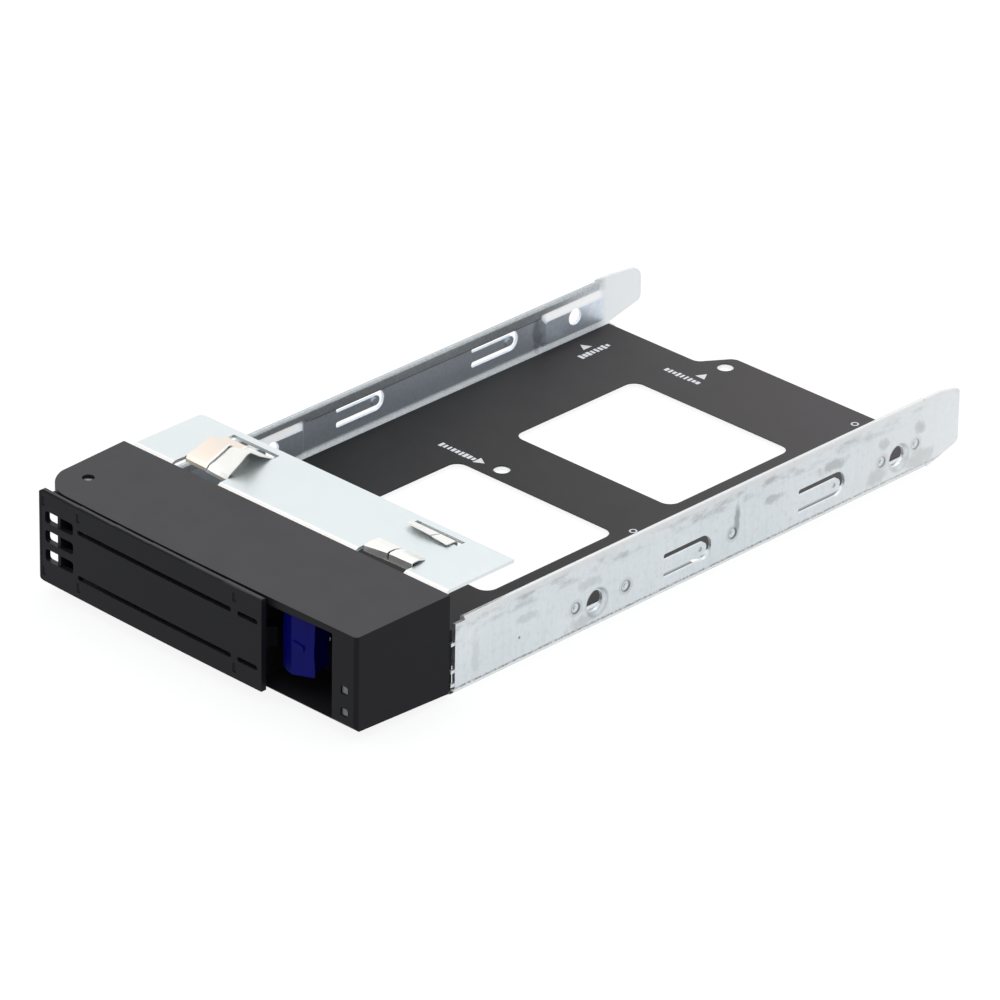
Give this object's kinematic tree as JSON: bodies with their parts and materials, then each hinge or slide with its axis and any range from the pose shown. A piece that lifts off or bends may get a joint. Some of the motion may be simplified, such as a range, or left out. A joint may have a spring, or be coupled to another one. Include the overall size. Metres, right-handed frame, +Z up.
{
  "type": "hard drive tray",
  "caption": "Hot-swap hard drive tray: galvanised sheet-steel channel with screw holes and a black plastic bezel that carries a swinging lever, a blue release button and light pipes.",
  "frame": {"origin": "Centre of the tray's overall box in X and Y, on the plane that its underside rests on.", "axes": "+X to the right as seen from the front, +Y from the bezel to the open rear end, +Z up."},
  "size_m": [0.1054, 0.2036, 0.0301],
  "materials": {
    "zinc_steel": "galvanised steel sheet with a fine mottled, hazy zinc finish",
    "black_film": "matt black insulating film with small white marks",
    "spring_steel": "bright thin spring sheet and wire",
    "black_plastic": "black moulded plastic with a fine grain",
    "pin_steel": "turned steel, plated",
    "blue_plastic": "smooth dark blue plastic",
    "clear_plastic": "clear plastic light pipe, milky at its ends"
  },
  "bodies": {
    "base": {"chassis": "zinc_steel", "insulation_film": "black_film", "front_bracket": "zinc_steel", "clip_left": "spring_steel", "clip_right": "spring_steel", "bezel_housing": "black_plastic", "lever_pin": "pin_steel", "button_spring": "spring_steel", "light_pipe_upper": "clear_plastic", "light_pipe_lower": "clear_plastic", "bezel_screw_1": "pin_steel", "bezel_screw_2": "pin_steel", "bracket_rivet_1": "zinc_steel", "bracket_rivet_2": "zinc_steel", "bracket_rivet_3": "zinc_steel", "bracket_rivet_4": "zinc_steel"},
    "lever_body": {"lever": "black_plastic", "lever_spring": "spring_steel"},
    "button_body": {"release_button": "blue_plastic", "button_retainer": "spring_steel"}
  },
  "joints": [
    {"name": "lever_swing", "type": "hinge", "parent": "base", "child": "lever_body", "pos_m": [-0.0434, -0.08895, 0.014], "axis": [0, 0, -1], "range_deg": [0, 50]},
    {"name": "button_press", "type": "slide", "parent": "base", "child": "button_body", "axis": [0, 1, 0], "range_m": [0, 0.002], "stiffness_N_per_m": 400, "springref_m": -0.002, "deforming": ["button_spring"]}
  ]
}
